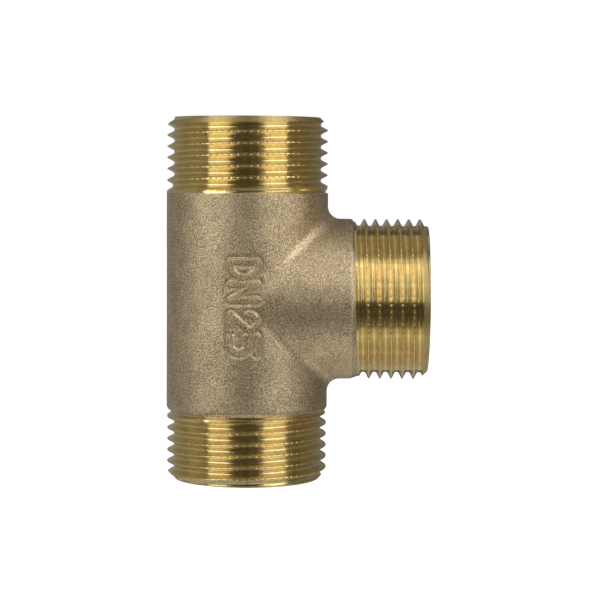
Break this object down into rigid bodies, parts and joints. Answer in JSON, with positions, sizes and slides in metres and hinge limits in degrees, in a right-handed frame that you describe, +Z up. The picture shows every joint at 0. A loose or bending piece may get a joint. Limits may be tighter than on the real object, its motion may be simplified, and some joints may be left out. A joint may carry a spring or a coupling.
{
  "type": "male threaded tee pipe fitting",
  "caption": "Equal tee pipe fitting: a rough cast brass body whose run and side branch end in turned male pipe threads around an open waterway.",
  "frame": {"origin": "the point where the run's axis and the branch's axis cross", "axes": "+Z up along the run, +X along the branch, and -Y towards the side that carries the size mark"},
  "size_m": [0.0543, 0.0338, 0.075],
  "materials": {
    "cast_brass": "rough sand-cast and blasted, dull",
    "turned_brass": "bright, with fine turning lines"
  },
  "bodies": {
    "root": {"cast_body": "cast_brass", "upper_threaded_end": "turned_brass", "lower_threaded_end": "turned_brass", "branch_threaded_end": "turned_brass"}
  },
  "joints": []
}
